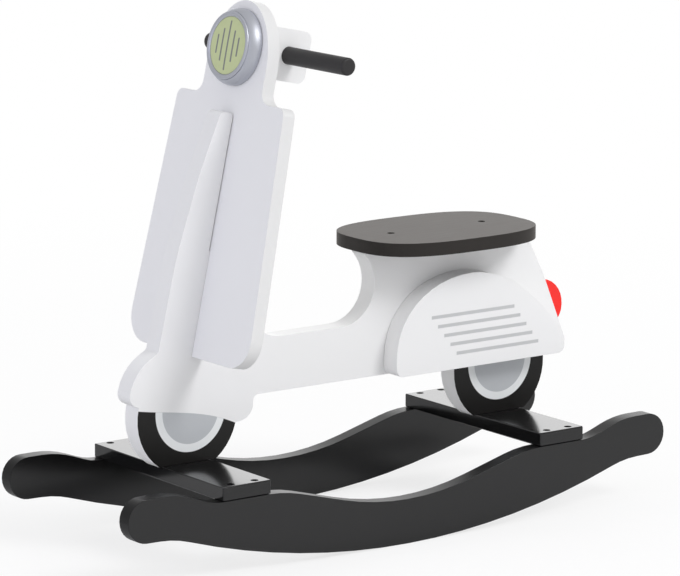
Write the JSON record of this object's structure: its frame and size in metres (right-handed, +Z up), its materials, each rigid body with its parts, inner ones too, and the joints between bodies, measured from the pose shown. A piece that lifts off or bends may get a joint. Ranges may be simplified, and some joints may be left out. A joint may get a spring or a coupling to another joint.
{
  "type": "rocking scooter toy",
  "caption": "Wooden rocking ride-on shaped like a motor scooter, with curved rockers, a leg shield, a fixed handlebar, a headlight and a flat oval seat.",
  "frame": {"origin": "on the floor, under the middle of the rockers and the middle of the width", "axes": "+X to the scooter's front, +Y to its left side, +Z up"},
  "size_m": [0.758, 0.268, 0.6152],
  "materials": {
    "white_board": "satin white lacquer on fibreboard, with black and grey painted wheels",
    "black_board": "glossy black lacquer on fibreboard",
    "seat_board": "matt dark grey lacquer on plywood",
    "black_dowel": "matt black lacquer on a turned dowel",
    "bezel": "glossy silver coated plastic",
    "lens": "satin yellow green with printed grey bars",
    "red_light": "glossy red lacquer",
    "steel_screw": "zinc plated",
    "beech_dowel": "bare beech"
  },
  "bodies": {
    "root": {"rocker_left": "black_board", "rocker_right": "black_board", "front_cross_board": "black_board", "rear_cross_board": "black_board", "body_board": "white_board", "shield": "white_board", "cover_left": "white_board", "cover_right": "white_board", "handlebar_block": "white_board", "handlebar": "black_dowel", "headlight_bezel": "bezel", "headlight_lens": "lens", "seat_board": "seat_board", "tail_light": "red_light", "tail_light_dowel": "beech_dowel", "cover_dowel_1": "beech_dowel", "cover_dowel_2": "beech_dowel", "front_board_screw_1": "steel_screw", "front_board_screw_2": "steel_screw", "front_board_screw_3": "steel_screw", "front_board_screw_4": "steel_screw", "rear_board_screw_1": "steel_screw", "rear_board_screw_2": "steel_screw", "rear_board_screw_3": "steel_screw", "rear_board_screw_4": "steel_screw", "front_wheel_screw_1": "steel_screw", "front_wheel_screw_2": "steel_screw", "rear_wheel_screw_1": "steel_screw", "rear_wheel_screw_2": "steel_screw", "seat_screw_1": "steel_screw", "seat_screw_2": "steel_screw", "block_screw_1": "steel_screw", "block_screw_2": "steel_screw", "headlight_screw": "steel_screw", "handlebar_lock_screw": "steel_screw"}
  },
  "joints": []
}
